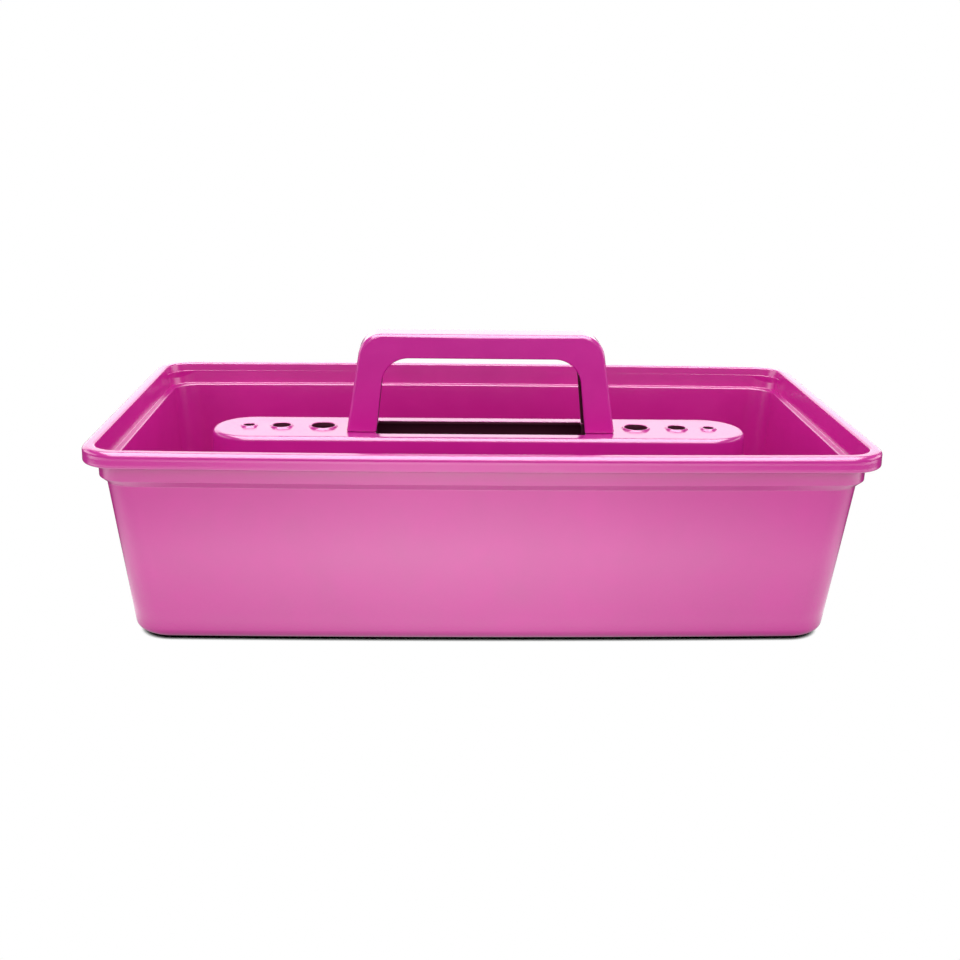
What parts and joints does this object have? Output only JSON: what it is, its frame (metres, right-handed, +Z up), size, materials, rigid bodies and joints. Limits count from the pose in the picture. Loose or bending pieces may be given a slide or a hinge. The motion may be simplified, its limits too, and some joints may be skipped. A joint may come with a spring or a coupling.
{
  "type": "tool storage caddy",
  "caption": "Open moulded tray with a centre tool rack of graded round holes, an arched carry handle over a deck slot, a lipped rim and corner feet.",
  "frame": {"origin": "on the table, under the middle of the tray", "axes": "+X along the tray to the right, +Y to the back, +Z up"},
  "size_m": [0.3972, 0.215, 0.1457],
  "materials": {
    "tray_plastic": "vivid pink moulded polypropylene, soft gloss",
    "rack_plastic": "vivid pink moulded polypropylene, soft gloss",
    "handle_plastic": "vivid pink moulded polypropylene, soft gloss",
    "foot_pad": "soft pink elastomer, matte"
  },
  "bodies": {
    "root": {"tray_body": "tray_plastic", "tool_rack": "rack_plastic", "carry_handle": "handle_plastic", "foot_front_left": "foot_pad", "foot_front_right": "foot_pad", "foot_back_left": "foot_pad", "foot_back_right": "foot_pad"}
  },
  "joints": []
}
